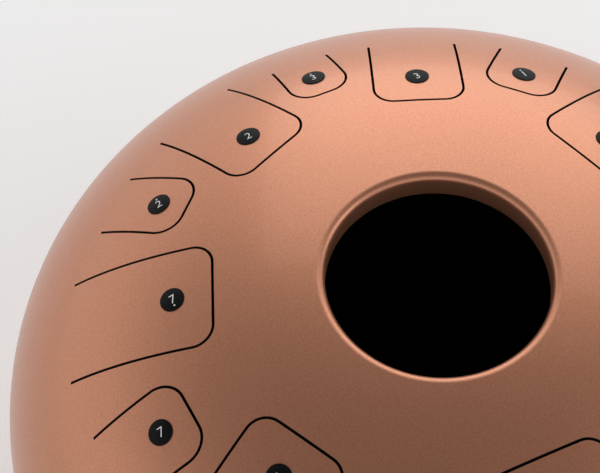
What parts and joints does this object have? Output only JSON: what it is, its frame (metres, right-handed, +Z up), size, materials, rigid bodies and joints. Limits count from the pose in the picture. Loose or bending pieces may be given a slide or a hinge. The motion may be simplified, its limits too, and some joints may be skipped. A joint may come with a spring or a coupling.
{
  "type": "tongue drum",
  "caption": "Steel tongue drum: copper-painted domed shell with numbered sprung tongues around an open sound port, closed belly and rubber feet.",
  "frame": {"origin": "on the surface the feet stand on, under the middle of the sound port", "axes": "+Z up through the port, -Y towards the player"},
  "size_m": [0.3566, 0.3566, 0.1963],
  "materials": {
    "copper_paint": "gloss",
    "disc_film": "satin",
    "rubber": "matte"
  },
  "bodies": {
    "drum_body": {"tongue_shell": "copper_paint", "belly_shell": "copper_paint", "rim_weld": "copper_paint", "rubber_foot_1": "rubber", "rubber_foot_2": "rubber", "rubber_foot_3": "rubber", "rubber_foot_4": "rubber"},
    "tongue_low_5": {"tongue_low_5": "copper_paint", "number_disc_low_5": "disc_film"},
    "tongue_low_6": {"tongue_low_6": "copper_paint", "number_disc_low_6": "disc_film"},
    "tongue_low_7": {"tongue_low_7": "copper_paint", "number_disc_low_7": "disc_film"},
    "tongue_mid_1": {"tongue_mid_1": "copper_paint", "number_disc_mid_1": "disc_film"},
    "tongue_mid_2": {"tongue_mid_2": "copper_paint", "number_disc_mid_2": "disc_film"},
    "tongue_mid_3": {"tongue_mid_3": "copper_paint", "number_disc_mid_3": "disc_film"},
    "tongue_mid_4": {"tongue_mid_4": "copper_paint", "number_disc_mid_4": "disc_film"},
    "tongue_mid_5": {"tongue_mid_5": "copper_paint", "number_disc_mid_5": "disc_film"},
    "tongue_mid_6": {"tongue_mid_6": "copper_paint", "number_disc_mid_6": "disc_film"},
    "tongue_mid_7": {"tongue_mid_7": "copper_paint", "number_disc_mid_7": "disc_film"},
    "tongue_high_1": {"tongue_high_1": "copper_paint", "number_disc_high_1": "disc_film"},
    "tongue_high_2": {"tongue_high_2": "copper_paint", "number_disc_high_2": "disc_film"},
    "tongue_high_3": {"tongue_high_3": "copper_paint", "number_disc_high_3": "disc_film"},
    "tongue_high_4": {"tongue_high_4": "copper_paint", "number_disc_high_4": "disc_film"}
  },
  "joints": [
    {"name": "flex_low_5", "type": "hinge", "parent": "drum_body", "child": "tongue_low_5", "pos_m": [0, -0.144, 0.16156], "axis": [1, 0, 0], "range_deg": [-0.6, 0.6], "stiffness_Nm_per_rad": 60},
    {"name": "flex_low_6", "type": "hinge", "parent": "drum_body", "child": "tongue_low_6", "pos_m": [0.13488, 0.0475, 0.1624], "axis": [-0.3322, 0.9432, 0], "range_deg": [-0.6, 0.6], "stiffness_Nm_per_rad": 60},
    {"name": "flex_low_7", "type": "hinge", "parent": "drum_body", "child": "tongue_low_7", "pos_m": [-0.13295, 0.0521, 0.1626], "axis": [-0.3649, -0.9311, 0], "range_deg": [-0.6, 0.6], "stiffness_Nm_per_rad": 60},
    {"name": "flex_mid_1", "type": "hinge", "parent": "drum_body", "child": "tongue_mid_1", "pos_m": [-0.12028, -0.06558, 0.16686], "axis": [0.4787, -0.878, 0], "range_deg": [-0.6, 0.6], "stiffness_Nm_per_rad": 60},
    {"name": "flex_mid_2", "type": "hinge", "parent": "drum_body", "child": "tongue_mid_2", "pos_m": [-0.05065, 0.12794, 0.16648], "axis": [-0.9298, -0.3681, 0], "range_deg": [-0.6, 0.6], "stiffness_Nm_per_rad": 60},
    {"name": "flex_mid_3", "type": "hinge", "parent": "drum_body", "child": "tongue_mid_3", "pos_m": [0.04791, 0.11978, 0.17193], "axis": [-0.9285, 0.3714, 0], "range_deg": [-0.6, 0.6], "stiffness_Nm_per_rad": 60},
    {"name": "flex_mid_4", "type": "hinge", "parent": "drum_body", "child": "tongue_mid_4", "pos_m": [0.11326, -0.06175, 0.17195], "axis": [0.4787, 0.878, 0], "range_deg": [-0.6, 0.6], "stiffness_Nm_per_rad": 60},
    {"name": "flex_mid_5", "type": "hinge", "parent": "drum_body", "child": "tongue_mid_5", "pos_m": [-0.07232, -0.12278, 0.16296], "axis": [0.8616, -0.5075, 0], "range_deg": [-0.6, 0.6], "stiffness_Nm_per_rad": 40},
    {"name": "flex_mid_6", "type": "hinge", "parent": "drum_body", "child": "tongue_mid_6", "pos_m": [0.14058, -0.01082, 0.1641], "axis": [0.0767, 0.9971, 0], "range_deg": [-0.6, 0.6], "stiffness_Nm_per_rad": 40},
    {"name": "flex_mid_7", "type": "hinge", "parent": "drum_body", "child": "tongue_mid_7", "pos_m": [-0.13963, -0.01148, 0.16478], "axis": [0.0819, -0.9966, 0], "range_deg": [-0.6, 0.6], "stiffness_Nm_per_rad": 40},
    {"name": "flex_high_1", "type": "hinge", "parent": "drum_body", "child": "tongue_high_1", "pos_m": [0.09326, 0.09229, 0.17071], "axis": [-0.7034, 0.7108, 0], "range_deg": [-0.6, 0.6], "stiffness_Nm_per_rad": 40},
    {"name": "flex_high_2", "type": "hinge", "parent": "drum_body", "child": "tongue_high_2", "pos_m": [-0.09704, 0.0991, 0.16583], "axis": [-0.7145, -0.6997, 0], "range_deg": [-0.6, 0.6], "stiffness_Nm_per_rad": 40},
    {"name": "flex_high_3", "type": "hinge", "parent": "drum_body", "child": "tongue_high_3", "pos_m": [0, 0.1316, 0.1705], "axis": [-1, 0, 0], "range_deg": [-0.6, 0.6], "stiffness_Nm_per_rad": 40},
    {"name": "flex_high_4", "type": "hinge", "parent": "drum_body", "child": "tongue_high_4", "pos_m": [0.06598, -0.11201, 0.17146], "axis": [0.8616, 0.5075, 0], "range_deg": [-0.6, 0.6], "stiffness_Nm_per_rad": 40}
  ]
}
